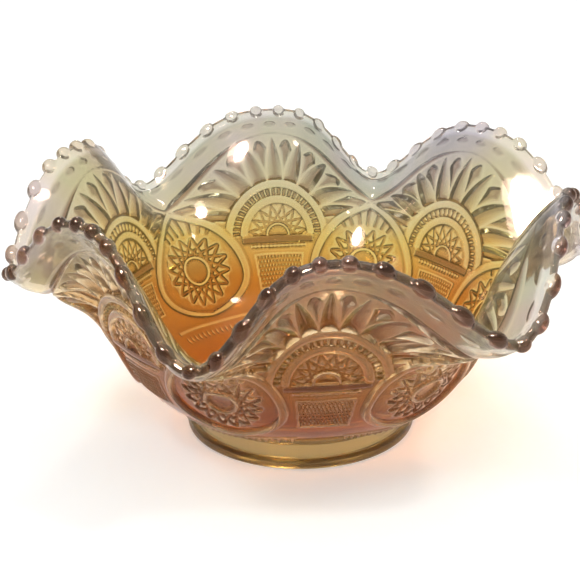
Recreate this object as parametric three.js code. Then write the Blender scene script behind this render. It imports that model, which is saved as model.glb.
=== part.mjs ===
// A ruffled pressed-glass bowl on a collar foot. Millimetres, +Z up, foot on z = 0.
// The bowl stands on its round foot. Six crests and six troughs run round the rim, which is a row
// of glass beads. Under every crest is an arched panel: a sunburst over a half star, with a
// hatched block below. Under every trough is a pointed oval with a round star.

import * as THREE from 'three';
import { mergeVertices } from 'three/addons/utils/BufferGeometryUtils.js';

// ---------------------------------------------------------------- driving dimensions, in mm

const SEAM = 0.35;               // space left between neighbouring regions of the glass
const FOOT = {
  flangeRadius: 43.5, flangeHeight: 4.2, collarRadius: 41.4, innerRadius: 34.5, height: 12, recess: 7.5,
};
const FLOOR_HEIGHT = 13;         // inside of the bowl at its middle
const FLOOR_EDGE = { radius: 35, height: 14.2 };   // where the floor turns up into the wall
const GLASS_AT_FOOT = 5;         // wall thickness where it leaves the foot
const GLASS_AT_RIM = 3.8;        // wall thickness at the rim

// Outside of the wall from the foot to the rim, as [radius, height], under a crest and under a trough.
const CREST_PROFILE = [[41.8, 12], [53, 17], [62.5, 25.7], [69.3, 36.8], [73.6, 49], [76.8, 61.8],
  [81.3, 74.6], [88.8, 87.2], [98, 97]];
const TROUGH_PROFILE = [[41.8, 12], [53, 16.3], [62.5, 24.5], [69.5, 34.8], [76, 44.8], [83, 52.5],
  [91.5, 57], [101, 60], [108.5, 66]];

// The ruffles were pulled by hand, so every one has its own place: [azimuth in degrees, radius, height]
// of the rim, crest and trough in turn, counter-clockwise from the crest at the front (-Y).
const RUFFLES = [[-83.5, 96.5, 102], [-48, 112, 66.5], [-14, 100.5, 98], [6, 110.5, 66.5],
  [39, 103, 97], [73, 106, 68], [98, 102.5, 94], [129, 109, 67],
  [157, 100, 97], [189, 109.5, 66.5], [220, 95, 102.5], [250.5, 105, 64]];
const FIRST_AZIMUTH = -83;       // where the first crest would be if all were evenly spaced
const STEP = 30;                 // degrees from a crest to the next trough
const SHOULDER = 5.4;            // how much the rim between them stands above an even wave
const CREST_ABOVE_TROUGH = 32;   // usual height of a crest over a trough
const RUFFLE_START = 0.3;        // share of the wall, from the foot, that the hand work left alone
const RUFFLE_POWER = 8;          // how much of the reach and height is close to the rim
const TWIST_POWER = 2;           // how much of the sideways pull is close to the rim

const PANELS = 6;
const BEADS_PER_PANEL = 11;
const BEAD = { top: 2.6, side: 2.3, neckTop: 1.2, neckSide: 1.6, at: 0.975 };
const WALL_TOP = 0.945;          // share of the wall's length where the plain glass ends
const BEADS_FROM = 0.957;        // and where the beads begin

const WALL_LENGTH = 106;         // along the glass from the foot to the rim, under a crest
const MM_PER_DEGREE = 1.33;      // width of one degree at half height
const FAN_CENTRE = 0.5;          // middle of the half star, as a share of the wall's length
const ARCH = { top: 0.88, ends: 0.13, power: 1.6 };
const OVAL = {
  apex: 0.745, widest: 0.365, base: 0.21, halfWidth: 19.5, halfHeight: 32, band: 3.6, power: 1.7,
};

const GLASS = { low: 0x8a4f1c, middle: 0xa9792f, high: 0x9b8f6e, bead: 0x5d3a2c, foot: 0xa87a35 };

// ---------------------------------------------------------------- the wall as a surface

const radians = THREE.MathUtils.degToRad;

function curveThrough(points) {
  return new THREE.SplineCurve(points.map(([r, z]) => new THREE.Vector2(r, z)));
}
const crestCurve = curveThrough(CREST_PROFILE);
const troughCurve = curveThrough(TROUGH_PROFILE);

/** Sideways drift, radius and height of the rim at pattern angle u, and how much of a crest it is. */
function rimAt(u) {
  const turn = THREE.MathUtils.euclideanModulo(u, 360) / STEP;
  const i = Math.floor(turn) % RUFFLES.length;
  const j = (i + 1) % RUFFLES.length;
  const t = turn - Math.floor(turn);
  const mix = 0.5 - 0.5 * Math.cos(Math.PI * t);
  const shoulder = 0.5 - 0.5 * Math.cos(2 * Math.PI * t);
  const drift = (k) => RUFFLES[k][0] - (FIRST_AZIMUTH + STEP * k);
  const crest = i % 2 === 0 ? 1 - mix : mix;
  return {
    drift: THREE.MathUtils.lerp(drift(i), drift(j), mix),
    radius: THREE.MathUtils.lerp(RUFFLES[i][1], RUFFLES[j][1], mix),
    height: THREE.MathUtils.lerp(RUFFLES[i][2], RUFFLES[j][2], mix) + SHOULDER * shoulder,
    crest: Math.min(1, crest + SHOULDER * shoulder / CREST_ABOVE_TROUGH),
  };
}

/** Point on the outside of the glass at pattern angle u and share s of the way from foot to rim. */
function outside(u, s) {
  const rim = rimAt(u);
  const share = THREE.MathUtils.clamp(s, 0, 1);
  const profile = troughCurve.getPoint(share).lerp(crestCurve.getPoint(share), rim.crest);
  const top = troughCurve.getPoint(1).lerp(crestCurve.getPoint(1), rim.crest);
  const pull = THREE.MathUtils.clamp((s - RUFFLE_START) / (1 - RUFFLE_START), 0, 1) ** RUFFLE_POWER;
  const radius = profile.x + (rim.radius - top.x) * pull;
  const a = radians(FIRST_AZIMUTH + u + rim.drift * share ** TWIST_POWER);
  return new THREE.Vector3(radius * Math.cos(a), radius * Math.sin(a),
    profile.y + (rim.height - top.y) * pull);
}

/** Outward direction of the glass, square to the surface. */
function outward(u, s) {
  const along = outside(u + 0.5, s).sub(outside(u - 0.5, s));
  const up = outside(u, Math.min(1, s + 0.01)).sub(outside(u, Math.max(0, s - 0.01)));
  return along.cross(up).normalize();
}

/** Point at a height above the outside of the glass; negative heights are inside the wall. */
function onWall(u, s, height) {
  return outside(u, s).addScaledVector(outward(u, s), height);
}

// ---------------------------------------------------------------- meshes

/** Closed mesh from rings of points: neighbouring rings are joined, and the last joins the first. */
function closedMesh(rings, wrap) {
  const columns = rings[0].length;
  const positions = rings.flat().flatMap((p) => [p.x, p.y, p.z]);
  const index = [];
  for (let j = 0; j < rings.length; j += 1) {
    const next = (j + 1) % rings.length;
    for (let i = 0; i < (wrap ? columns : columns - 1); i += 1) {
      const k = (i + 1) % columns;
      const [a, b, c, d] = [j * columns + i, j * columns + k, next * columns + k, next * columns + i];
      index.push(a, b, c, a, c, d);
    }
  }
  if (!wrap) {
    for (const [i, flip] of [[0, false], [columns - 1, true]]) {
      const half = rings.length / 2;
      for (let j = 0; j < half - 1; j += 1) {
        const low = rings.length - 1 - j;
        const [a, b, c, d] = [j, j + 1, low - 1, low].map((ring) => ring * columns + i);
        index.push(...(flip ? [a, c, b, a, d, c] : [a, b, c, a, c, d]));
      }
    }
  }
  const geometry = new THREE.BufferGeometry();
  geometry.setAttribute('position', new THREE.Float32BufferAttribute(positions, 3));
  geometry.setIndex(index);
  const merged = mergeVertices(geometry, 1e-4);
  const whole = [];
  for (let t = 0; t < merged.index.count; t += 3) {
    const [a, b, c] = [0, 1, 2].map((n) => merged.index.getX(t + n));
    if (a !== b && b !== c && c !== a) whole.push(a, b, c);
  }
  merged.setIndex(volume(merged, whole) > 0 ? whole : whole.reverse());
  merged.computeVertexNormals();
  return merged;
}

function volume(geometry, index) {
  const point = (k) => new THREE.Vector3().fromBufferAttribute(geometry.attributes.position, index[k]);
  let sum = 0;
  for (let t = 0; t < index.length; t += 3) sum += point(t).dot(point(t + 1).cross(point(t + 2))) / 6;
  return sum;
}

/**
 * A raised region of the pattern, lying on the wall. place(i, j) gives its [u, s], and height(i, j)
 * how far its face stands above its back. wrap joins the last column to the first. rise lifts the
 * back of a long plate clear of the wall's flat facets where the ruffles bend it most.
 */
function plate(columns, rows, place, height, { wrap = false, rise = 0 } = {}) {
  const face = [];
  const back = [];
  for (let j = 0; j < rows; j += 1) {
    face.push([]);
    back.push([]);
    for (let i = 0; i < columns; i += 1) {
      const [u, s] = place(i, j);
      face[j].push(onWall(u, s, SEAM + rise + height(i, j)));
      back[j].push(onWall(u, s, SEAM + rise));
    }
  }
  return closedMesh([...face, ...back.reverse()], wrap);
}

const parts = [];

function add(name, geometry, color, roughness = 0.12) {
  const material = new THREE.MeshStandardMaterial({ color, roughness, metalness: 0 });
  material.name = name;
  const mesh = new THREE.Mesh(geometry, material);
  mesh.name = name;
  parts.push(mesh);
}

// ---------------------------------------------------------------- wall and foot

const WALL_COLUMNS = 84;

/** One ring of the wall, all the way round. */
function ring(pointAt) {
  return Array.from({ length: WALL_COLUMNS }, (_, i) => pointAt(360 * i / WALL_COLUMNS));
}

/** A level ring at the azimuths of the wall's own columns. */
function levelRing(radius, z) {
  return ring((u) => {
    const a = Math.atan2(outside(u, 0).y, outside(u, 0).x);
    return new THREE.Vector3(radius * Math.cos(a), radius * Math.sin(a), z);
  });
}

const glassAt = (s) => THREE.MathUtils.lerp(GLASS_AT_FOOT, GLASS_AT_RIM, s);
const WALL_ROWS = 9;
const wallSteps = Array.from({ length: WALL_ROWS + 1 }, (_, j) => WALL_TOP * j / WALL_ROWS);
const innerSteps = wallSteps.slice(1).reverse();
const recessRadius = FOOT.innerRadius - SEAM;
add('bowl_wall', closedMesh([
  levelRing(0, FOOT.recess),
  levelRing(recessRadius, FOOT.recess),
  levelRing(recessRadius, FOOT.height),
  ...wallSteps.map((s) => ring((u) => outside(u, s))),
  ...innerSteps.map((s) => ring((u) => onWall(u, s, -glassAt(s)))),
  levelRing(FLOOR_EDGE.radius, FLOOR_EDGE.height),
  levelRing(0, FLOOR_HEIGHT),
], true), GLASS.middle);

const footTop = FOOT.height - SEAM;
const footOutline = [
  [FOOT.innerRadius, 1], [FOOT.innerRadius + 1, 0], [FOOT.flangeRadius - 1.2, 0],
  [FOOT.flangeRadius - 0.3, 0.5], [FOOT.flangeRadius, 1.4], [FOOT.flangeRadius - 0.5, 2.5],
  [FOOT.flangeRadius - 1.4, FOOT.flangeHeight], [FOOT.collarRadius, FOOT.flangeHeight],
  [FOOT.collarRadius, footTop], [FOOT.innerRadius, footTop], [FOOT.innerRadius, 1],
];
add('collar_foot', new THREE.LatheGeometry(
  footOutline.map(([r, z]) => new THREE.Vector2(r, z)), 48).rotateX(Math.PI / 2), GLASS.foot);

// ---------------------------------------------------------------- the beaded rim

const BEAD_STATIONS = 3;           // sections from one bead to the next
const RIM_MM_PER_DEGREE = 1.73;
const BELOW_RIM = 0.96;            // share of the wall from which the rim's own direction is taken

/** Round part of the rim's cross-section, through a bead or the neck between two, as [up, out]. */
function rimSection(isNeck) {
  const top = isNeck ? BEAD.neckTop : BEAD.top;
  const side = isNeck ? BEAD.neckSide : BEAD.side;
  return [[0, -side], [top, -side / 2], [top, side / 2], [0, side]];
}

function rimStrip(panel) {
  const stations = BEADS_PER_PANEL * BEAD_STATIONS;
  const from = 360 / PANELS * (panel - 0.5);
  const seam = SEAM / 2 / RIM_MM_PER_DEGREE;
  const sections = [];
  for (let i = 0; i <= stations; i += 1) {
    const u = THREE.MathUtils.lerp(from + seam, from + 360 / PANELS - seam, i / stations);
    const middle = onWall(u, BEAD.at, -GLASS_AT_RIM / 2);
    const out = outward(u, BEAD.at);
    const up = outside(u, 1).sub(outside(u, BELOW_RIM)).normalize();
    sections.push([
      onWall(u, BEADS_FROM, -GLASS_AT_RIM),
      ...rimSection(i % BEAD_STATIONS === 0).map(([rise, reach]) => middle.clone()
        .addScaledVector(up, rise).addScaledVector(out, reach)),
      onWall(u, BEADS_FROM, 0),
    ]);
  }
  const rings = sections[0].map((_, k) => sections.map((section) => section[k]));
  return closedMesh(rings, false);
}

// ---------------------------------------------------------------- the pressed pattern

/** Pattern coordinates: mm to the right of, and above, the half star's centre of a panel. */
function fromFan(panel, x, y) {
  return [360 / PANELS * panel + x / MM_PER_DEGREE, FAN_CENTRE + y / WALL_LENGTH];
}

/** Share of the wall's length at which the arch over a panel runs, u degrees from its middle. */
function archAt(u) {
  return ARCH.top - ARCH.ends * Math.abs(u / 30) ** ARCH.power;
}

/** Distance from the half star's centre to the arch, along an angle above the level. */
function reachOfArch(angle) {
  let reach = 20;
  while (true) {
    const x = reach * Math.cos(angle);
    const y = reach * Math.sin(angle);
    const past = FAN_CENTRE + y / WALL_LENGTH > archAt(x / MM_PER_DEGREE);
    if (past || reach > FAN.longest) return reach;
    reach += 0.25;
  }
}

const FAN = { from: radians(35), rays: 9, inner: 24, longest: 52 };
const fanAngle = (i) => THREE.MathUtils.lerp(Math.PI - FAN.from, FAN.from, i / (2 * FAN.rays));

function sunburst(panel) {
  return plate(2 * FAN.rays + 1, 4, (i, j) => {
    const angle = fanAngle(i);
    const end = reachOfArch(angle) - (i % 2 ? 1 : 3);
    const reach = THREE.MathUtils.lerp(FAN.inner, end, j / 3);
    return fromFan(panel, reach * Math.cos(angle), reach * Math.sin(angle));
  }, (i, j) => (i % 2 ? 1 : 0.4) - 0.05 * j, { rise: 0.5 });
}

// Bands over the half star: [reach from its centre, height of the glass there].
const BANDS = [[13.4, 0.9], [16.6, 0.9], [17.7, 0.4], [18.8, 0.9], [22.8, 0.9]];
const BAND_FOOT = 11;              // how far above the level the outer band stops, to clear the ovals

function archBands(panel) {
  const columns = 15;
  return plate(columns, BANDS.length, (i, j) => {
    const reach = BANDS[j][0];
    const widest = BANDS.at(-1)[0];
    const lowest = j < 2 ? 0.06 : Math.asin(BAND_FOOT / widest) * (reach / widest);
    const angle = THREE.MathUtils.lerp(Math.PI - lowest, lowest, i / (columns - 1));
    return fromFan(panel, reach * Math.cos(angle), reach * Math.sin(angle));
  }, (i, j) => BANDS[j][1], { rise: 0.1 });
}

function halfStar(panel) {
  const columns = 11;
  const reaches = [12.9, 8.3, 4];
  return plate(columns, reaches.length, (i, j) => {
    const angle = THREE.MathUtils.lerp(Math.PI - 0.1, 0.1, i / (columns - 1));
    return fromFan(panel, reaches[j] * Math.cos(angle), 0.4 + reaches[j] * Math.sin(angle));
  }, (i, j) => (j === 1 ? 0.5 + 0.7 * (i % 2) : 0.6));
}

const BAR = { half: 15.6, taper: 0.92, top: -0.4, depth: 3.2, height: 1.1 };

function crossbar(panel) {
  const columns = 9;
  return plate(columns, 2, (i, j) => {
    const x = THREE.MathUtils.lerp(-BAR.half, BAR.half, i / (columns - 1));
    return fromFan(panel, x * (j ? BAR.taper : 1), BAR.top - BAR.depth * j);
  }, () => BAR.height);
}

const BLOCK = { top: -5, bottom: -22.6, topHalf: 10.4, bottomHalf: 8.8 };

function hatchedBlock(panel) {
  const size = 7;
  return plate(size, size, (i, j) => {
    const y = THREE.MathUtils.lerp(BLOCK.top, BLOCK.bottom, j / (size - 1));
    const half = THREE.MathUtils.lerp(BLOCK.topHalf, BLOCK.bottomHalf, j / (size - 1));
    return fromFan(panel, THREE.MathUtils.lerp(-half, half, i / (size - 1)), y);
  }, (i, j) => (i % 2 && j % 2 ? 1.2 : 0.5));
}

/** Edge of the pointed oval at share t of the way round from its apex: [degrees aside, s]. */
function ovalEdge(t, inset) {
  const side = t < 0.5 ? 1 : -1;
  const down = 1 - Math.abs(1 - 2 * t);
  const s = THREE.MathUtils.lerp(OVAL.apex, OVAL.base, 0.5 - 0.5 * Math.cos(Math.PI * down));
  const above = (s - OVAL.widest) / (OVAL.apex - OVAL.widest);
  const below = (OVAL.widest - s) / (OVAL.widest - OVAL.base);
  const half = s > OVAL.widest ? 1 - above ** OVAL.power : Math.sqrt(1 - below ** 2);
  const width = Math.max(0, OVAL.halfWidth * half);
  const shrink = 1 - inset / (OVAL.halfWidth * MM_PER_DEGREE);
  return [side * width * shrink, OVAL.widest + (s - OVAL.widest) * (1 - inset / OVAL.halfHeight)];
}

function ovalBand(panel) {
  const columns = 24;
  const middle = 360 / PANELS * (panel + 0.5);
  return plate(columns, 2, (i, j) => {
    const [aside, s] = ovalEdge(i / columns, j * OVAL.band);
    return [middle + aside, s];
  }, () => 0.8, { wrap: true, rise: 0.1 });
}

const STAR = { at: 0.415, points: 10, reach: 15, waist: 8, ring: 6 };

function hobstar(panel) {
  const columns = 2 * STAR.points;
  const middle = 360 / PANELS * (panel + 0.5);
  const rows = [[1, 0.5], [STAR.waist / STAR.reach, 1.1], [STAR.ring / STAR.reach, 0.5], [0, 0.9]];
  return plate(columns, rows.length, (i, j) => {
    const angle = 2 * Math.PI * i / columns;
    const reach = STAR.reach * rows[j][0] * (j === 0 && i % 2 ? 0.72 : 1);
    return [middle + reach * Math.cos(angle) / MM_PER_DEGREE,
      STAR.at + reach * Math.sin(angle) / WALL_LENGTH * 1.1];
  }, (i, j) => rows[j][1], { wrap: true });
}

for (let panel = 0; panel < PANELS; panel += 1) {
  const number = panel + 1;
  add(`rim_beads_${number}`, rimStrip(panel), GLASS.bead);
  add(`sunburst_${number}`, sunburst(panel), GLASS.high);
  add(`arch_bands_${number}`, archBands(panel), GLASS.low);
  add(`half_star_${number}`, halfStar(panel), GLASS.middle);
  add(`crossbar_${number}`, crossbar(panel), GLASS.low);
  add(`hatched_block_${number}`, hatchedBlock(panel), GLASS.low);
  add(`oval_band_${number}`, ovalBand(panel), GLASS.low);
  add(`hobstar_${number}`, hobstar(panel), GLASS.middle);
}

const bowl = new THREE.Group();
bowl.name = 'carnival_glass_bowl';
bowl.add(...parts);
export default bowl;
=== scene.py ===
"""A ruffled carnival glass bowl: pressed pattern outside, smooth inside, beaded rim, collar foot.

Shapes are worked out in millimetres and turned into metres when the mesh is made. A point of the
wall is named by its pattern angle u, in degrees round the bowl, and its share s of the way from
the foot to the rim. Crests of the ruffled rim are at u = 0, 60, 120 ..., troughs half way between.
The pressed pattern is a height above the smooth wall at each point, and repeats at every crest.
"""

import math

import bpy
import numpy as np
from mathutils import Matrix, Vector


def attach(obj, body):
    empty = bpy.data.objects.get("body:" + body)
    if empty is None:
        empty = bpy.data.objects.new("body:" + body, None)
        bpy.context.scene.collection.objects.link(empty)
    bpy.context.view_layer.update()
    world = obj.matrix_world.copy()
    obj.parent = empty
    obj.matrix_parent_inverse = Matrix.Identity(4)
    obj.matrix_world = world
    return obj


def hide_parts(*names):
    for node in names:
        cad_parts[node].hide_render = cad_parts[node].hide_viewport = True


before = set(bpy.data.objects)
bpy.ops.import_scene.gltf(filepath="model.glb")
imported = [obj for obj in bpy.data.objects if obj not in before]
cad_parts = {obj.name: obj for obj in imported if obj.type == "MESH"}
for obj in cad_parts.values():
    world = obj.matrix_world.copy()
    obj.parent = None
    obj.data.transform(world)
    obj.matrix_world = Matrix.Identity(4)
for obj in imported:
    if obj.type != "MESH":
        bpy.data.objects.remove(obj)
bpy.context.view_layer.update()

MM = 0.001

# ------------------------------------------------------------------ shape of the wall, as in the CAD

CREST_PROFILE = [(41.8, 12), (53, 17), (62.5, 25.7), (69.3, 36.8), (73.6, 49), (76.8, 61.8),
                 (81.3, 74.6), (88.8, 87.2), (98, 97)]
TROUGH_PROFILE = [(41.8, 12), (53, 16.3), (62.5, 24.5), (69.5, 34.8), (76, 44.8), (83, 52.5),
                  (91.5, 57), (101, 60), (108.5, 66)]
# Azimuth, radius and height of the rim at each crest and trough in turn, from the front crest.
RUFFLES = np.array([(-83.5, 96.5, 102), (-48, 112, 66.5), (-14, 100.5, 98), (6, 110.5, 66.5),
                    (39, 103, 97), (73, 106, 68), (98, 102.5, 94), (129, 109, 67),
                    (157, 100, 97), (189, 109.5, 66.5), (220, 95, 102.5), (250.5, 105, 64)])
FIRST_AZIMUTH, STEP = -83.0, 30.0
SHOULDER, CREST_TO_TROUGH = 5.4, 32.0                   # mm, how far the rim bulges and falls
# The share where the ruffles start to leave the profiles, and how late they and their twist grow.
RUFFLE_START, RUFFLE_POWER, TWIST_POWER = 0.3, 8.0, 2.0
GLASS_AT_FOOT, GLASS_AT_RIM = 5.0, 3.8                  # thickness of the glass, in mm

PANEL = 60.0                      # degrees from crest to crest
BEADS = 66
BEAD_PITCH, BEAD_RADIUS = 9.6, 2.85
BEAD_AT = 0.961                   # share of the wall where the middles of the beads are
BEAD_OUT, BEAD_UP = 0.3, 0.6      # from the middle of the glass to the middle of a bead
NECK_TOP = 0.8                    # height of the rim between two beads above the same point
ALMOND_AT = 0.915                 # share of the wall where a small hollow lies under each neck
ALMOND_HALF, ALMOND_TALL = 3.4, 1.5                     # half its length and height, in mm
WALL_LENGTH, MM_PER_DEGREE = 106.0, 1.33                # turn s and u into mm on the pattern
FAN_CENTRE = 0.498                # share of the wall at the half star's centre


def spline(points, share):
    """Point on a uniform Catmull-Rom curve through the points, at shares of its length by index."""
    points = np.asarray(points, float)
    last = len(points) - 1
    at = np.clip(share, 0, 1) * last
    i = np.minimum(np.floor(at).astype(int), last - 1)
    t = (at - i)[..., None]
    p0 = points[np.where(i == 0, i, i - 1)]
    p1, p2 = points[i], points[i + 1]
    p3 = points[np.where(i > last - 2, last, i + 2)]
    v0, v1 = (p2 - p0) / 2, (p3 - p1) / 2
    return ((2 * p1 - 2 * p2 + v0 + v1) * t ** 3 + (-3 * p1 + 3 * p2 - 2 * v0 - v1) * t ** 2
            + v0 * t + p1)


def rim_at(u):
    """Sideways drift, radius, height and crest weight of the rim at pattern angle u."""
    turn = np.mod(u, 360.0) / STEP
    i = np.floor(turn).astype(int) % len(RUFFLES)
    j = (i + 1) % len(RUFFLES)
    t = turn - np.floor(turn)
    mix = 0.5 - 0.5 * np.cos(np.pi * t)
    shoulder = SHOULDER * (0.5 - 0.5 * np.cos(2 * np.pi * t))
    drift = RUFFLES[:, 0] - (FIRST_AZIMUTH + STEP * np.arange(len(RUFFLES)))
    crest = np.where(i % 2 == 0, 1 - mix, mix)
    sideways = drift[i] + (drift[j] - drift[i]) * mix
    radius = RUFFLES[i, 1] + (RUFFLES[j, 1] - RUFFLES[i, 1]) * mix
    height = RUFFLES[i, 2] + (RUFFLES[j, 2] - RUFFLES[i, 2]) * mix + shoulder
    return sideways, radius, height, np.minimum(1, crest + shoulder / CREST_TO_TROUGH)


def outside(u, s):
    """Point on the smooth outside of the wall."""
    sideways, radius, height, crest = rim_at(u)
    crest = crest[..., None]
    profile = spline(TROUGH_PROFILE, s) * (1 - crest) + spline(CREST_PROFILE, s) * crest
    top = np.array(TROUGH_PROFILE[-1]) * (1 - crest) + np.array(CREST_PROFILE[-1]) * crest
    pull = np.clip((s - RUFFLE_START) / (1 - RUFFLE_START), 0, 1) ** RUFFLE_POWER
    r = profile[..., 0] + (radius - top[..., 0]) * pull
    z = profile[..., 1] + (height - top[..., 1]) * pull
    a = np.radians(FIRST_AZIMUTH + u + sideways * np.clip(s, 0, 1) ** TWIST_POWER)
    return np.stack([r * np.cos(a), r * np.sin(a), z], -1)


def unit(v):
    return v / np.linalg.norm(v, axis=-1, keepdims=True)


def outward(u, s):
    """Direction square to the wall, pointing out of the bowl."""
    along = outside(u + 0.5, s) - outside(u - 0.5, s)
    up = outside(u, np.minimum(1, s + 0.01)) - outside(u, np.maximum(0, s - 0.01))
    return unit(np.cross(along, up))


# ------------------------------------------------------------------ the pressed pattern, as heights

def smooth(low, high, x):
    """A soft step from 0 at low to 1 at high."""
    t = np.clip((x - low) / (high - low), 0, 1)
    return t * t * (3 - 2 * t)


def dome(x, middle, half):
    """A half-ellipse of height 1 over the stretch half to each side of middle, and 0 beyond it."""
    return np.sqrt(np.clip(1 - ((x - middle) / half) ** 2, 0, 1))


# Share of the wall where the arch over a panel peaks, how far its ends drop, and its roundness.
ARCH_TOP, ARCH_ENDS, ARCH_POWER = 0.88, 0.13, 1.6


def arch_groove(aside, s):
    """A crescent cut over each panel: a hairline at the top, widest near its ends, steep below."""
    share = np.abs(aside) / (PANEL / 2)
    middle = ARCH_TOP - ARCH_ENDS * share ** ARCH_POWER
    drop = ARCH_ENDS * ARCH_POWER / (PANEL / 2) * share ** (ARCH_POWER - 1)
    lean = drop * WALL_LENGTH / MM_PER_DEGREE
    above = (s - middle) * WALL_LENGTH / np.sqrt(1 + lean ** 2)
    half = 0.35 + 2.2 * smooth(0.1, 0.78, share) * (1 - 0.75 * smooth(0.84, 1.0, share))
    side = np.where(above > 0, above / 1.4, -above / 0.6)
    return -0.8 * half * np.clip(1 - side / half, 0, 1)


FAN_STEP = 15.7                   # degrees from one long ray of the sunburst to the next
FAN_INNER = 23.2                  # mm from the half star's centre to the foot of the rays
FAN_LOWEST = 24                   # degrees above the level where the lowest ray stops
RAY_DEPTH, LEAF_DEPTH = 2.0, 1.6  # mm, the deepest cuts of the rays and leaves


def reach_of_arch(angle):
    """Distance from the half star's centre to the arch along an angle above the level."""
    reach = np.full_like(angle, 20.0)
    for _ in range(160):
        x, y = reach * np.cos(angle), reach * np.sin(angle)
        share = np.abs(x / MM_PER_DEGREE) / (PANEL / 2)
        under = FAN_CENTRE + y / WALL_LENGTH < ARCH_TOP - ARCH_ENDS * share ** ARCH_POWER
        reach = np.where(under, reach + 0.25, reach)
    return reach


ANGLES = np.linspace(0, np.pi, 721)
REACHES = reach_of_arch(ANGLES)


def sunburst(x, y):
    """Long pointed rays, with a rounded leaf between each two, from the bands to the arch."""
    reach = np.hypot(x, y)
    angle = np.arctan2(y, x)
    far = np.interp(angle, ANGLES, REACHES)
    turn = (np.degrees(angle) - 90) / FAN_STEP
    q = np.abs(turn - np.round(turn))
    inner = FAN_INNER - 1.1 * (1 - (2 * q) ** 2)
    t = (reach - inner) / np.maximum(far - 1.2 - inner, 1)
    ray = 0.5 * (1 - np.clip(t, 0, 1) ** 1.25) ** 0.9
    in_ray = (t > 0) & (t < 1) & (q < ray)
    leaf = np.minimum(0.5 - ray - 0.03, 0.36 * np.sqrt(np.clip((0.93 - t) / 0.30, 0, 1)))
    off = 0.5 - q
    in_leaf = (t > 0.04) & (off < leaf) & ~in_ray
    pitch = np.radians(FAN_STEP) * reach
    ray_cut = np.minimum((ray - q) * pitch * 0.75, RAY_DEPTH) * smooth(0, 0.05, t)
    leaf_cut = np.minimum((leaf - off) * pitch * 0.9, LEAF_DEPTH)
    cut = np.where(in_ray, ray_cut, np.where(in_leaf, leaf_cut, 0.0))
    degrees = np.degrees(angle)
    fans = (degrees > FAN_LOWEST) & (degrees < 180 - FAN_LOWEST) & (y > 0)
    return np.where(fans, -cut, 0.0)


STAR_POINTS = 16


def star(x, y, tip, cut_width, hub_dots=24):
    """A star of straight V cuts that cross round a raised ring with a hollow hub."""
    reach = np.hypot(x, y)
    point = 360 / STAR_POINTS
    cut = tip * math.cos(math.radians(3 * point))
    ring = 1.14 * cut
    hub_edge = ring * 0.76
    nearest = np.full_like(reach, tip)
    for k in range(STAR_POINTS):
        turn = math.radians(point * (k + 0.5))
        nearest = np.minimum(nearest, np.abs(x * math.cos(turn) + y * math.sin(turn) - cut))
    fade = smooth(0.0, 0.6, tip + 0.4 - reach)
    facets = 0.2 * fade - 1.15 * cut_width * np.clip(1 - nearest / cut_width, 0, 1) * fade
    angle = np.arctan2(y, x)
    hollow = np.clip(reach / hub_edge, 0, 1)
    dots = 0.25 * np.cos(hub_dots * angle) * smooth(0.55, 0.9, hollow)
    hub = -0.2 - 0.6 * (1 - hollow ** 2) + dots
    band = 0.8 * dome(reach, ring * 0.88, ring * 0.12)
    return np.where(reach > ring, facets, np.where(reach > hub_edge, band, hub))


TEETH_PITCH = 7.2                 # degrees from tooth to tooth round the half star
# Distances in mm from the half star's centre: its own edge, and where each part round it ends.
HALF_STAR_END, INNER_BAND_END, TEETH_END, OUTER_BAND_END = 12.75, 16.65, 19.15, 22.9


def arch_bands(x, y):
    """Two smooth round bands with a ring of small teeth between them."""
    reach = np.hypot(x, y)
    angle = np.degrees(np.arctan2(y, x))
    inner = 1.1 * dome(reach, 14.7, 1.95)
    wave = 0.5 + 0.5 * np.cos(np.radians(360 * (angle - 90) / TEETH_PITCH))
    teeth = -0.7 + 1.7 * wave ** 1.5 * dome(reach, 17.9, 1.3)
    outer = 1.1 * dome(reach, 21.0, 1.9)
    height = np.where(reach < INNER_BAND_END, inner, np.where(reach < TEETH_END, teeth, outer))
    return np.where(reach > HALF_STAR_END, height, 0.0)


# Sizes in mm under the half star: the bar, the row of beads, and the hatched block.
BAR_HALF, BAR_HEIGHT = 15.8, 3.4
ROW_HALF, ROW_HEIGHT, ROW_PITCH = 12.4, 2.4, 1.75
BLOCK_TOP, BLOCK_BOTTOM, BLOCK_FRAME = -7.8, -23.4, 1.0
HATCH_TOP, HATCH_BOTTOM, HATCH_WIDE, HATCH_TALL = -8.7, -22.4, 1.5, 3.8


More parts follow.
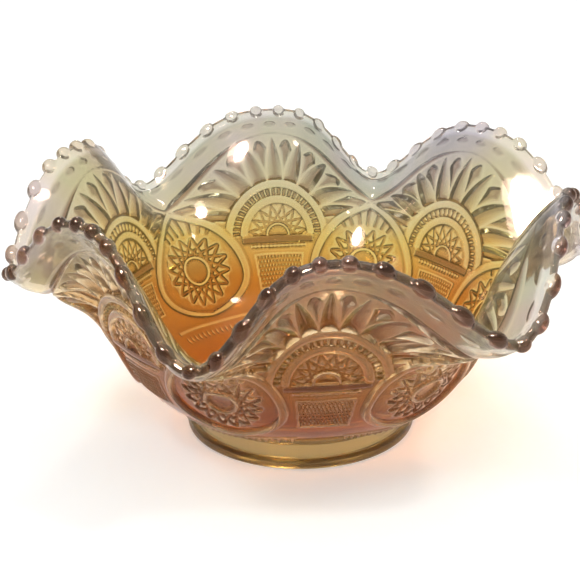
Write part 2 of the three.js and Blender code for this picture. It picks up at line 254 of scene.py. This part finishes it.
def panel_centre(x, y):
    """The half star, its bands, the bar, the row of beads and the hatched block; NaN outside."""
    reach = np.hypot(x, y)
    height = np.full_like(reach, np.nan)
    base = 0.0035 * x ** 2 - 0.2
    above = y > base
    height = np.where(above & (reach < OUTER_BAND_END), arch_bands(x, y), height)
    height = np.where(above & (reach < HALF_STAR_END), star(x, y + 0.2, 12.4, 0.8, 20), height)
    under_bar = base - BAR_HEIGHT
    bar = (np.abs(x) < BAR_HALF) & (y <= base) & (y > under_bar)
    height = np.where(bar, 0.1 + 0.9 * dome(y, base - BAR_HEIGHT / 2, BAR_HEIGHT / 2), height)
    row = (np.abs(x) < ROW_HALF) & (y <= under_bar) & (y > under_bar - ROW_HEIGHT)
    along = np.abs(np.mod(x / ROW_PITCH + 0.5, 1) - 0.5) * ROW_PITCH
    ball = 0.95 - along ** 2 - ((y - under_bar + ROW_HEIGHT / 2) / 1.05) ** 2
    height = np.where(row, -0.5 + 1.2 * np.sqrt(np.clip(ball, 0, 1)), height)
    half = 9.7 + 0.05 * (y + 21)
    block = (np.abs(x) < half + BLOCK_FRAME) & (y <= BLOCK_TOP) & (y > BLOCK_BOTTOM)
    edge = np.minimum(half - np.abs(x), np.minimum(HATCH_TOP - y, y - HATCH_BOTTOM))
    peaks = np.full_like(reach, 0.5)
    for slant in (1, -1):
        line = x / HATCH_WIDE + slant * y / HATCH_TALL
        peaks = np.minimum(peaks, 0.5 - np.abs(np.mod(line, 1) - 0.5))
    hatch = np.where(edge > 0, -0.7 + 3.2 * peaks, 0.3)
    return np.where(block, hatch, height)


# The oval: shares of the wall at its point, widest place and foot; its half width in degrees; the
# width of its band in mm. Then the share of the wall at the middle of its star, and the star's
# reach, both ends of the small fan over the star, and the fan's spacing and half width in degrees.
OVAL_APEX, OVAL_WIDEST, OVAL_BASE, OVAL_HALF, OVAL_BAND = 0.745, 0.365, 0.21, 19.5, 3.9
STAR_AT, STAR_TIP = 0.415, 16.2
SMALL_FAN_FROM, SMALL_FAN_FULL, SMALL_FAN_STEP, SMALL_FAN_HALF = 17.0, 19.0, 11, 40


def oval(aside, s):
    """The pointed oval under a trough: a thick rounded band round a sunk field with a star."""
    above = np.clip((s - OVAL_WIDEST) / (OVAL_APEX - OVAL_WIDEST), 0, 1)
    below = np.clip((OVAL_WIDEST - s) / (OVAL_WIDEST - OVAL_BASE), 0, 1)
    half = OVAL_HALF * np.where(s > OVAL_WIDEST, 1 - above ** 1.7, np.sqrt(1 - below ** 2))
    slope_up = 1.7 * above ** 0.7 / (OVAL_APEX - OVAL_WIDEST)
    slope_down = below / np.sqrt(np.maximum(1 - below ** 2, 0.002)) / (OVAL_WIDEST - OVAL_BASE)
    slope = OVAL_HALF * np.where(s > OVAL_WIDEST, slope_up, slope_down)
    lean = slope * MM_PER_DEGREE / WALL_LENGTH
    into = (half - np.abs(aside)) * MM_PER_DEGREE / np.sqrt(1 + lean ** 2)
    into = np.where((s < OVAL_APEX) & (s > OVAL_BASE), into, -1.0)
    band = 1.15 * dome(into, OVAL_BAND / 2, OVAL_BAND / 2)
    x, y = aside * MM_PER_DEGREE, (s - STAR_AT) * WALL_LENGTH
    field = star(x, y, STAR_TIP, 1.1) - 0.35
    reach, angle = np.hypot(x, y), np.degrees(np.arctan2(y, x)) - 90
    turn = angle / SMALL_FAN_STEP
    fan = np.radians(np.abs(turn - np.round(turn)) * SMALL_FAN_STEP) * reach
    depth = smooth(SMALL_FAN_FROM, SMALL_FAN_FULL, reach)
    cuts = -0.35 - 1.1 * np.clip(1 - fan / 1.3, 0, 1) * depth
    over_star = (reach > SMALL_FAN_FROM) & (np.abs(angle) < SMALL_FAN_HALF)
    field = np.where(over_star, cuts, field)
    return np.where(into > OVAL_BAND, field, np.where(into > 0, band, np.nan))


def off_crest(u):
    """Degrees from the nearest crest."""
    return np.mod(u + PANEL / 2, PANEL) - PANEL / 2


# Round the foot of the wall: 144 small teeth on one line, and a smooth ridge on the next.
FOOT_TEETH, FOOT_TEETH_AT, FOOT_RIDGE_AT = 144, 0.135, 0.18


def relief(u, s):
    """Height of the pressed glass above the smooth wall, in mm."""
    from_crest = off_crest(u)
    from_trough = np.mod(u, PANEL) - PANEL / 2
    x, y = from_crest * MM_PER_DEGREE, (s - FAN_CENTRE) * WALL_LENGTH
    height = arch_groove(from_crest, s)
    reach = np.hypot(x, y)
    arch = ARCH_TOP - ARCH_ENDS * (np.abs(from_crest) / (PANEL / 2)) ** ARCH_POWER
    under_arch = s < arch - 0.012
    height = np.where(under_arch & (reach > FAN_INNER), sunburst(x, y), height)
    centre = panel_centre(x, y)
    height = np.where(np.isnan(centre), height, centre)
    ovals = oval(from_trough, s)
    height = np.where(np.isnan(ovals), height, ovals)
    from_neck = (0.5 - np.abs(np.mod(u / 360 * BEADS, 1) - 0.5)) * BEAD_PITCH
    up = np.abs((s - ALMOND_AT) * WALL_LENGTH)
    almond = 1 - (from_neck / ALMOND_HALF) ** 2 - up / ALMOND_TALL
    height = height - 0.6 * np.clip(almond, 0, 0.6)
    teeth = np.clip(np.cos(np.radians(u * FOOT_TEETH)), 0, 1)
    teeth = teeth * np.exp(-((s - FOOT_TEETH_AT) / 0.013) ** 2)
    height = height + 0.8 * teeth * (np.abs(from_trough) < 21) * (s < OVAL_BASE)
    ridge = np.exp(-((s - FOOT_RIDGE_AT) / 0.008) ** 2)
    height = height + 0.45 * ridge * (np.abs(from_trough) < 22)
    return height * smooth(0.03, 0.09, s)


BAR_MIDDLE = -1.8                 # mm, the height of the bar's middle against the half star's


def painted_shade(u, s, height):
    """How much painted shade lies, from 0 to 1: in the cuts, along the arch groove, and on the bar.
    """
    from_crest = off_crest(u)
    x, y = from_crest * MM_PER_DEGREE, (s - FAN_CENTRE) * WALL_LENGTH
    bar = smooth(0, 0.4, BAR_HALF - np.abs(x))
    bar = bar * smooth(0, 0.4, BAR_HEIGHT / 2 - np.abs(y - BAR_MIDDLE))
    arch = np.clip(-arch_groove(from_crest, s) / 1.2, 0, 0.8)
    cuts = np.clip(-height / 2.4, 0, 0.45)
    return np.maximum(np.maximum(bar, arch), cuts)


# ------------------------------------------------------------------ rings of the whole bowl

COLUMNS = BEADS * 20
U = np.arange(COLUMNS) * 360.0 / COLUMNS
RIM_FROM = 0.93                   # share of the wall where the beaded rim begins


def wall_rows():
    """Shares of the wall's length, closest together where the pattern is finest."""
    parts = [np.arange(0.0, 0.10, 0.006), np.arange(0.10, 0.25, 0.0045),
             np.arange(0.25, 0.66, 0.0031), np.arange(0.66, RIM_FROM, 0.0036)]
    return np.concatenate(parts)


def rim_rings():
    """The beaded rim, from the outside of the wall over the top to the inside."""
    x = (np.mod(U / 360 * BEADS, 1) - 0.5) * BEAD_PITCH
    ball = np.clip(BEAD_RADIUS ** 2 - x ** 2, 0, None)
    s = np.full(COLUMNS, BEAD_AT)
    out = outward(U, s)
    up = unit(outside(U, s + 0.02) - outside(U, s - 0.02))
    half = GLASS_AT_RIM / 2
    middle = outside(U, s) - out * half
    # The beads' brown is partly a stain and partly painted shade, deepest at the front.
    front = 0.2 + 0.8 * smooth(-35, 30, -middle[:, 1])      # the beads are brownest at the front
    rings = []
    for angle in np.radians(np.linspace(-60, 240, 37)):
        across, rise = math.cos(angle), math.sin(angle)
        edge = half / abs(across) if rise < 0 else 1 / math.hypot(across / half, rise / NECK_TOP)
        edge = np.full(COLUMNS, edge)
        toward = BEAD_OUT * across + BEAD_UP * rise
        root = ball - BEAD_OUT ** 2 - BEAD_UP ** 2 + toward ** 2
        reach = np.where(root > 0, toward + np.sqrt(np.clip(root, 0, None)), 0.0)
        proud = reach - edge
        reach = 0.5 * (edge + reach + np.sqrt(proud ** 2 + 0.02)) if rise > -0.8 else edge
        points = middle + out * (reach * across)[:, None] + up * (reach * rise)[:, None]
        outer_side = float(smooth(-0.9, 0.1, np.array(across)))
        neck = 0.75 * float(smooth(-0.2, 0.3, np.array(rise)))
        bead_stain_and_shade = front * outer_side * np.maximum(neck, smooth(-0.1, 0.3, proud))
        # A pale line along each bead's lower outline: a painted highlight.
        line = 0.35 * np.exp(-(proud / 0.3) ** 2) * (rise < 0.2) * outer_side
        rings.append((points, bead_stain_and_shade, 0.5 + line))
    return rings


def inner_rings():
    """The smooth inside of the wall, from the rim down to the floor."""
    rings = []
    for s in np.linspace(0.922, 0.0, 66):
        row = np.full(COLUMNS, s)
        glass = GLASS_AT_FOOT + (GLASS_AT_RIM - GLASS_AT_FOOT) * s
        rings.append((outside(U, row) - outward(U, row) * glass, s))
    return rings


def level_ring(radius, z, like):
    """A level circle whose points stand at the azimuths of another ring."""
    a = np.arctan2(like[:, 1], like[:, 0])
    return np.stack([radius * np.cos(a), radius * np.sin(a), np.full(len(a), float(z))], -1)


# Cross-section of the foot, as [radius, height], from the wall down, under and up into the recess.
FOOT_OUTLINE = [(41.9, 11.5), (41.5, 10.8), (41.4, 9.5), (41.4, 7.5), (41.4, 5.6), (41.2, 4.9),
                (41.3, 4.4), (41.9, 4.2), (42.7, 4.0), (43.2, 3.4), (43.5, 2.4), (43.5, 1.3),
                (43.2, 0.6), (42.7, 0.15), (41.9, 0.0), (36.5, 0.0), (35.5, 0.3), (34.8, 1.1),
                (34.5, 2.2), (34.5, 5.8), (34.1, 6.9), (33.0, 7.4), (31.0, 7.5), (22.0, 7.5),
                (10.0, 7.5)]
FLOOR_OUTLINE = [(35.5, 14.8), (32.0, 14.2), (28.0, 13.7), (22.0, 13.3), (15.0, 13.1), (7.0, 13.0)]
INNER_COLUMNS = COLUMNS // 3


def convexity(heights):
    """How much each point of the relief stands above (to 1) or below (to -1) the glass round it."""
    around = np.zeros_like(heights)               # mean of the points three rows and columns off
    for down in (-3, 0, 3):
        level = heights[np.clip(np.arange(len(heights)) + down, 0, len(heights) - 1)]
        for along in (-3, 0, 3):
            around += np.roll(level, along, 1) / 9
    return np.clip((heights - around) / 0.35, -1, 1)


def bowl_mesh():
    """The whole bowl as one closed mesh, with what each point is in its colour attribute."""
    rings = []

    def add(points, share, edge, stain_and_shade, inner):
        """A ring of points, marked with its share of the wall, ridge or groove for painted highlight
        and shade, stain and painted shade, and inside.
        """
        marks = np.empty((len(points), 4))
        for k, value in enumerate((share, edge, stain_and_shade, inner)):
            marks[:, k] = value
        rings.append((points, marks))

    thin = slice(None, None, COLUMNS // INNER_COLUMNS)
    seat = outside(U, np.zeros(COLUMNS))[thin]
    for r, z in reversed(FLOOR_OUTLINE):
        add(level_ring(r, z, seat), 0.0, 0.5, 0.0, 1.0)
    inner = inner_rings()
    for points, s in reversed(inner[8:]):
        add(points[thin], s, 0.5, 0.0, 1.0)
    for points, s in reversed(inner[:8]):
        add(points, s, 0.5, 0.0, 1.0)
    for points, bead_stain_and_shade, edge in reversed(rim_rings()):
        add(points, 1.0, edge, bead_stain_and_shade, 0.0)
    shares = wall_rows()
    heights = np.array([relief(U, np.full(COLUMNS, s)) for s in shares])
    # The edge mark: the glass paints highlight on ridges and shade in hollows from it.
    edges = convexity(heights)
    for s, height, edge in zip(shares[::-1], heights[::-1], edges[::-1]):
        row = np.full(COLUMNS, s)
        points = outside(U, row) + outward(U, row) * height[:, None]
        # Painted shade in the cuts, along the arch groove and on the bar.
        add(points, s, np.clip(0.5 + edge / 2, 0, 1), painted_shade(U, row, height), 0.0)
    for r, z in FOOT_OUTLINE:
        add(level_ring(r, z, seat), 0.0, 0.5, 0.0, 0.0)
    return rings


def faces_between(a, n_a, b, n_b):
    """Faces joining ring a of n_a points to ring b of n_b, where one count divides the other."""
    if n_a == n_b:
        i = np.arange(n_a)
        k = (i + 1) % n_a
        return np.stack([a + i, b + i, b + k, a + k], 1), np.empty((0, 3), int)
    if n_a > n_b:
        quads, triangles = faces_between(b, n_b, a, n_a)
        return quads[:, ::-1], triangles[:, ::-1]
    per = n_b // n_a
    triangles = []
    for i in range(n_a):
        k = (i + 1) % n_a
        half = (per + 1) // 2
        for m in range(per):
            j = i * per + m
            end = a + i if m < half else a + k
            triangles.append((end, b + j, b + (j + 1) % n_b))
            if m == half - 1:
                triangles.append((a + i, b + (j + 1) % n_b, a + k))
    return np.empty((0, 4), int), np.array(triangles)


def make_object(name, rings, material):
    """Mesh object from rings of points; the first and last rings are closed by a point."""
    points = np.concatenate([r[0] for r in rings])
    marks = np.concatenate([r[1] for r in rings])
    starts = np.cumsum([0] + [len(r[0]) for r in rings])
    quads, triangles = [], []
    for n in range(len(rings) - 1):
        q, t = faces_between(starts[n], len(rings[n][0]), starts[n + 1], len(rings[n + 1][0]))
        quads.append(q)
        triangles.append(t)
    for n, flip in ((0, False), (len(rings) - 1, True)):
        i = starts[n] + np.arange(len(rings[n][0]))
        centre = np.full(len(i), len(points))
        points = np.vstack([points, rings[n][0].mean(0)])
        marks = np.vstack([marks, rings[n][1].mean(0)])
        fan = np.stack([centre, i, np.roll(i, -1)], 1)
        triangles.append(fan[:, ::-1] if flip else fan)
    quads, triangles = np.concatenate(quads), np.concatenate(triangles)
    loops = np.concatenate([quads.ravel(), triangles.ravel()])
    counts = np.concatenate([np.full(len(quads), 4), np.full(len(triangles), 3)])
    first = np.concatenate([[0], np.cumsum(counts)[:-1]])
    mesh = bpy.data.meshes.new(name)
    mesh.vertices.add(len(points))
    mesh.vertices.foreach_set("co", (points * MM).ravel())
    mesh.loops.add(len(loops))
    mesh.loops.foreach_set("vertex_index", loops)
    mesh.polygons.add(len(counts))
    mesh.polygons.foreach_set("loop_start", first)
    mesh.update(calc_edges=True)
    mesh.validate()
    colours = mesh.color_attributes.new("glass", "FLOAT_COLOR", "POINT")
    colours.data.foreach_set("color", marks.ravel())
    mesh.polygons.foreach_set("use_smooth", np.ones(len(mesh.polygons), bool))
    mesh.materials.append(material)
    ob = bpy.data.objects.new(name, mesh)
    bpy.context.scene.collection.objects.link(ob)
    return ob


# ------------------------------------------------------------------ materials

class Tree:
    """Short ways to add nodes to a material or the world."""

    def __init__(self, owner):
        owner.use_nodes = True
        self.nodes, self.links = owner.node_tree.nodes, owner.node_tree.links
        self.nodes.clear()

    def add(self, kind, inputs=None, **settings):
        node = self.nodes.new(kind)
        for key, value in settings.items():
            setattr(node, key, value)
        for key, value in (inputs or {}).items():
            socket = node.inputs[key]
            if isinstance(value, bpy.types.NodeSocket):
                self.links.new(value, socket)
            else:
                socket.default_value = value
        return node

    def ramp(self, factor, stops):
        node = self.add("ShaderNodeValToRGB", {"Fac": factor})
        elements = node.color_ramp.elements
        while len(elements) < len(stops):
            elements.new(0.5)
        for element, (at, colour) in zip(elements, stops):
            element.position = at
            element.color = (*colour, 1)
        return node.outputs["Color"]

    def mix(self, factor, a, b):
        node = self.add("ShaderNodeMix", data_type="RGBA")
        for index, value in ((0, factor), (6, a), (7, b)):
            if isinstance(value, bpy.types.NodeSocket):
                self.links.new(value, node.inputs[index])
            elif index:
                node.inputs[index].default_value = (*value, 1)
            else:
                node.inputs[index].default_value = value
        return node.outputs[2]

    def maths(self, operation, *values, clamp=False):
        node = self.add("ShaderNodeMath", operation=operation, use_clamp=clamp)
        for socket, value in zip(node.inputs, values):
            if isinstance(value, bpy.types.NodeSocket):
                self.links.new(value, socket)
            else:
                socket.default_value = value
        return node.outputs[0]

    def noise(self, place, scale, detail):
        node = self.add("ShaderNodeTexNoise", {"Vector": place, "Scale": scale, "Detail": detail})
        return node.outputs["Fac"]


def marigold_glass():
    """Amber glass with an iridescent film: deep below, smoky near the rim, pinker outside, with
    painted highlight on ridges, painted shade in hollows, cuts and on the bar, and a painted sheen
    outside towards the rim.
    """
    material = bpy.data.materials.new("marigold_glass")
    t = Tree(material)
    marks = t.add("ShaderNodeAttribute", attribute_name="glass")
    parts = t.add("ShaderNodeSeparateColor", {"Color": marks.outputs["Color"]})
    share, edge, stain_and_shade = parts.outputs[0], parts.outputs[1], parts.outputs[2]
    inner = marks.outputs["Alpha"]
    place = t.add("ShaderNodeTexCoord").outputs["Object"]
    clouds = t.noise(place, 24.0, 3.0)
    wide = t.noise(place, 9.0, 1.0)
    moved = t.maths("ADD", share, t.maths("MULTIPLY", t.maths("SUBTRACT", wide, 0.5), 0.5))
    inside = t.ramp(moved, [(0.0, (0.36, 0.11, 0.008)), (0.35, (0.39, 0.20, 0.020)),
                            (0.58, (0.37, 0.29, 0.045)), (0.76, (0.30, 0.285, 0.155)),
                            (1.0, (0.21, 0.235, 0.27))])
    # The outside grows paler towards the rim: partly the film's own colour, partly a painted sheen.
    outer = t.ramp(moved, [(0.0, (0.44, 0.14, 0.03)), (0.35, (0.50, 0.12, 0.015)),
                           (0.58, (1.0, 0.54, 0.16)), (0.76, (1.0, 0.80, 0.50)),
                           (1.0, (0.68, 0.68, 0.70))])
    foot = t.maths("MULTIPLY_ADD", share, -30.0, 1.0, clamp=True)
    outer = t.mix(foot, outer, (0.41, 0.355, 0.21))
    tint = t.mix(inner, outer, inside)
    film = t.ramp(clouds, [(0.36, (0.50, 0.38, 0.46)), (0.47, (0.60, 0.46, 0.26)),
                           (0.56, (0.54, 0.52, 0.20)), (0.68, (0.60, 0.34, 0.24))])
    upper = t.maths("MULTIPLY_ADD", share, 1.6, -0.6, clamp=True)
    tint = t.mix(t.maths("MULTIPLY", upper, 0.3), tint, film)
    # Painted shade in the hollows of the relief and painted highlight on its ridges, from the edge
    # mark.
    painted_groove_shade = t.maths("MULTIPLY_ADD", edge, -2.0, 1.0, clamp=True)
    tint = t.mix(t.maths("MULTIPLY", painted_groove_shade, 0.6), tint, (0.14, 0.035, 0.008))
    painted_ridge_highlight = t.maths("MULTIPLY_ADD", edge, 2.0, -1.0, clamp=True)
    tint = t.mix(t.maths("MULTIPLY", painted_ridge_highlight, 0.8), tint, (1.0, 0.86, 0.62))
    # Darkens the tint with painted shade in the cuts, arch groove and bar, and with the beads'
    # stain, which is partly painted shade.
    tint = t.mix(t.maths("MULTIPLY", stain_and_shade, 0.92), tint, (0.15, 0.032, 0.008))
    waves = t.noise(place, 60.0, 2.0)
    bump = t.add("ShaderNodeBump", {"Height": waves, "Strength": 0.12, "Distance": 0.002})
    shader = t.add("ShaderNodeBsdfPrincipled", {
        "Base Color": tint, "Roughness": 0.09, "IOR": 1.46, "Transmission Weight": 0.92,
        "Specular Tint": (0.95, 0.66, 0.52, 1.0), "Normal": bump.outputs[0]})
    t.add("ShaderNodeOutputMaterial", {"Surface": shader.outputs[0]})
    return material


def floor_material():
    material = bpy.data.materials.new("studio_floor")
    t = Tree(material)
    shader = t.add("ShaderNodeBsdfPrincipled", {
        "Base Color": (0.8, 0.8, 0.79, 1), "Roughness": 0.8, "Specular IOR Level": 0.1,
        "Emission Color": (1.0, 1.0, 1.0, 1), "Emission Strength": 0.42})
    t.add("ShaderNodeOutputMaterial", {"Surface": shader.outputs[0]})
    return material


# ------------------------------------------------------------------ the piece, floor, light, camera

bowl = make_object("bowl_glass", bowl_mesh(), marigold_glass())
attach(bowl, "root")
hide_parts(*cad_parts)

floor_mesh = bpy.data.meshes.new("floor")
FLOOR_HALF = 4.0
floor_mesh.from_pydata([(-FLOOR_HALF, -FLOOR_HALF, 0), (FLOOR_HALF, -FLOOR_HALF, 0),
                        (FLOOR_HALF, FLOOR_HALF, 0), (-FLOOR_HALF, FLOOR_HALF, 0)],
                       [], [(0, 1, 2, 3)])
floor_mesh.materials.append(floor_material())
floor = bpy.data.objects.new("floor", floor_mesh)
floor.location.z = -0.0002
bpy.context.scene.collection.objects.link(floor)


def studio_world():
    """A pale horizon, dark upper walls and a bright ceiling, for the glass to bend and mirror."""
    world = bpy.data.worlds.new("studio")
    t = Tree(world)
    way = t.add("ShaderNodeTexCoord").outputs["Generated"]
    up = t.add("ShaderNodeSeparateXYZ", {"Vector": way}).outputs["Z"]
    sky = t.ramp(up, [(0.0, (0.80, 0.80, 0.80)), (0.20, (0.62, 0.61, 0.60)),
                      (0.34, (0.18, 0.18, 0.19)), (0.74, (0.20, 0.20, 0.21)),
                      (0.88, (1.2, 1.2, 1.2)), (1.0, (1.2, 1.2, 1.2))])
    back = t.add("ShaderNodeBackground", {"Color": sky, "Strength": 1.0})
    t.add("ShaderNodeOutputWorld", {"Surface": back.outputs[0]})
    bpy.context.scene.world = world


def area_light(name, at, aim, size, power):
    """A round lamp, sized in metres and powered in watts, that points at a place."""
    light = bpy.data.lights.new(name, "AREA")
    light.shape = "DISK"
    light.size = size
    light.energy = power
    ob = bpy.data.objects.new(name, light)
    ob.location = at
    ob.rotation_euler = (Vector(aim) - Vector(at)).to_track_quat("-Z", "Y").to_euler()
    bpy.context.scene.collection.objects.link(ob)
    return ob


studio_world()
# The softbox shows in gloss and through glass only. On dull surfaces it would cast a hard shadow.
area_light("softbox", (-0.3, -0.62, 1.12), (0, 0, 0.05), 0.34, 70.0).visible_diffuse = False
area_light("lamp_left", (-0.5, -0.55, 1.1), (0, 0, 0.05), 0.30, 4.0)
area_light("lamp_right", (0.55, -0.3, 1.0), (0, 0, 0.05), 0.12, 2.0)
area_light("lamp_back", (-0.1, 0.7, 0.9), (0, 0, 0.05), 0.12, 1.6)

CAMERA_AT = Vector((0.0, -0.56313, 0.28023))
CAMERA_FORWARD = Vector((-0.0062639, 0.92733534, -0.37417901))
CAMERA_RIGHT = Vector((0.99997557, 0.00464853, -0.00521943))
camera_data = bpy.data.cameras.new("camera")
camera_data.sensor_width = 36.0
camera_data.lens = 100.51
camera = bpy.data.objects.new("camera", camera_data)
back, right = -CAMERA_FORWARD.normalized(), CAMERA_RIGHT.normalized()
above = back.cross(right)
turn = Matrix((right, above, back)).transposed()
camera.matrix_world = Matrix.Translation(CAMERA_AT) @ turn.to_4x4()
bpy.context.scene.collection.objects.link(camera)
bpy.context.scene.camera = camera
bpy.context.scene.view_settings.view_transform = "Standard"
